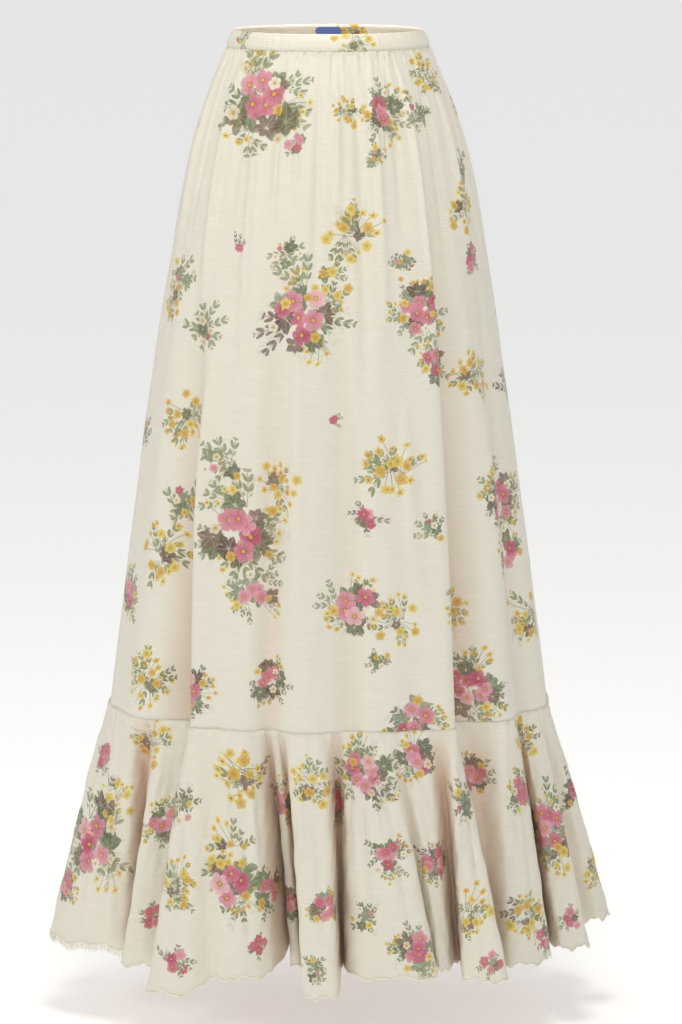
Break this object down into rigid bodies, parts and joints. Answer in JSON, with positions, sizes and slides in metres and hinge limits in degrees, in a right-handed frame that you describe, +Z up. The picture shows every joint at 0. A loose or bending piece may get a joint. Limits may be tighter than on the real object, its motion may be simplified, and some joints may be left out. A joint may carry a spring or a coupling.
{
  "type": "maxi skirt",
  "caption": "Long floral A-line skirt with an elastic waistband and a deep gathered ruffle, hollow and filled out as when it is worn",
  "frame": {"origin": "middle of the waist, level with the top of the waistband", "axes": "+Z up along the body, -Y to the front of the skirt, +X to the wearer's left"},
  "size_m": [0.6865, 0.4233, 1.1226],
  "materials": {
    "floral_cloth": "soft silk and cotton weave with a low sheen, printed with flowers",
    "waistband_cloth": "the same cloth, plain, over elastic",
    "label_weave": "bare blue woven label"
  },
  "bodies": {
    "root": {"waistband": "waistband_cloth", "body_front": "floral_cloth", "body_back": "floral_cloth", "ruffle_front": "floral_cloth", "ruffle_back": "floral_cloth", "label": "label_weave"}
  },
  "joints": []
}
